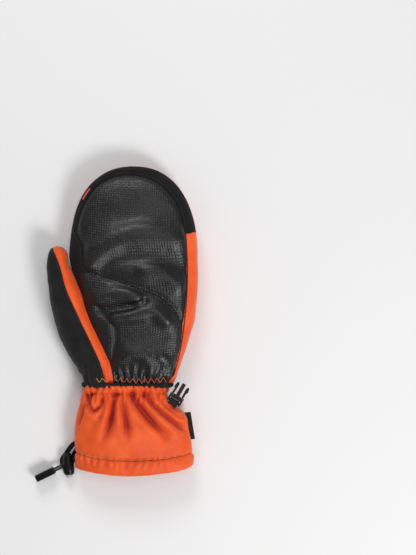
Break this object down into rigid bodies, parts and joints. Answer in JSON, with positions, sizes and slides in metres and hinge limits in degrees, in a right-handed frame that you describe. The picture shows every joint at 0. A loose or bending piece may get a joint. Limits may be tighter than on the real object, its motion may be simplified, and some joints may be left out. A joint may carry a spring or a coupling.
{
  "type": "ski mitten",
  "caption": "Left-hand padded ski mitten with a grip palm, a hinged thumb, a flared gauntlet cuff with a drawcord and lock, and a clip buckle at the wrist.",
  "frame": {"origin": "centre of the footprint, on the surface the mitten lies on with its back down, measured without the free cord and its lock", "axes": "+Z is the palm's normal, +Y runs from the cuff to the fingertips, and the thumb is on the -X side"},
  "size_m": [0.1763, 0.3417, 0.048],
  "materials": {
    "palm_leather": "embossed, satin",
    "suede": "matte nap",
    "softshell": "matte weave",
    "orange_twill": "satin twill",
    "grey_twill": "matte weave",
    "wadding": "loose fibre",
    "membrane": "smooth film",
    "fleece": "brushed",
    "elastic": "braided",
    "webbing": "woven",
    "moulded_plastic": "gloss",
    "grey_plastic": "gloss",
    "spring_steel": "satin"
  },
  "bodies": {
    "mitten": {"palm_upper_panel": "palm_leather", "palm_lower_panel": "palm_leather", "fingertip_cap": "softshell", "little_finger_gusset": "orange_twill", "index_side_gusset": "softshell", "thumb_heel_panel": "suede", "thumb_stripe_heel": "orange_twill", "back_panel": "orange_twill", "back_wrist_panel": "grey_twill", "wrist_elastic": "elastic", "hand_insulation": "wadding", "hand_membrane": "membrane", "hand_lining": "fleece", "cuff_palm_panel": "orange_twill", "cuff_back_panel": "orange_twill", "cuff_padding": "wadding", "cuff_lining": "fleece", "hem_channel": "orange_twill", "hem_drawcord": "elastic", "cord_exit_eyelet": "moulded_plastic", "woven_side_label": "webbing", "lock_tether": "webbing", "cord_lock_barrel": "moulded_plastic", "cord_lock_spring": "spring_steel", "buckle_webbing": "webbing"},
    "thumb": {"thumb_back_panel": "suede", "thumb_stripe": "orange_twill", "thumb_palm_panel": "palm_leather", "thumb_insulation": "wadding", "thumb_membrane": "membrane", "thumb_lining": "fleece"},
    "lock_plunger": {"cord_lock_plunger": "grey_plastic"},
    "cord_pull": {"drawcord_strand_upper": "elastic", "drawcord_strand_lower": "elastic", "cord_end_housing": "moulded_plastic", "cord_end_cover": "moulded_plastic"},
    "buckle": {"buckle_body": "moulded_plastic"},
    "prong_left": {"buckle_prong_left": "moulded_plastic"},
    "prong_right": {"buckle_prong_right": "moulded_plastic"}
  },
  "joints": [
    {"name": "thumb_spread", "type": "hinge", "parent": "mitten", "child": "thumb", "pos_m": [-0.071, -0.003, 0.022], "axis": [0, 0, 1], "range_deg": [0, 20], "stiffness_Nm_per_rad": 0.05},
    {"name": "lock_button", "type": "slide", "parent": "mitten", "child": "lock_plunger", "axis": [-0.0941, 0.9956, 0], "range_m": [0, 0.003], "stiffness_N_per_m": 800, "deforming": ["cord_lock_spring"]},
    {"name": "cord_pull", "type": "slide", "parent": "mitten", "child": "cord_pull", "axis": [-0.8988, -0.4384, 0], "range_m": [0, 0.012]},
    {"name": "buckle_swing", "type": "hinge", "parent": "mitten", "child": "buckle", "pos_m": [0.05572, -0.08722, 0.03302], "axis": [0.8572, -0.515, 0], "range_deg": [0, 60]},
    {"name": "prong_left", "type": "hinge", "parent": "buckle", "child": "prong_left", "pos_m": [0.05389, -0.07882, 0.03169], "axis": [-0.1071, -0.1782, -0.9781], "range_deg": [0, 7], "stiffness_Nm_per_rad": 0.4},
    {"name": "prong_right", "type": "hinge", "parent": "buckle", "child": "prong_right", "pos_m": [0.064, -0.08489, 0.03169], "axis": [0.1071, 0.1782, 0.9781], "range_deg": [0, 7], "stiffness_Nm_per_rad": 0.4}
  ]
}
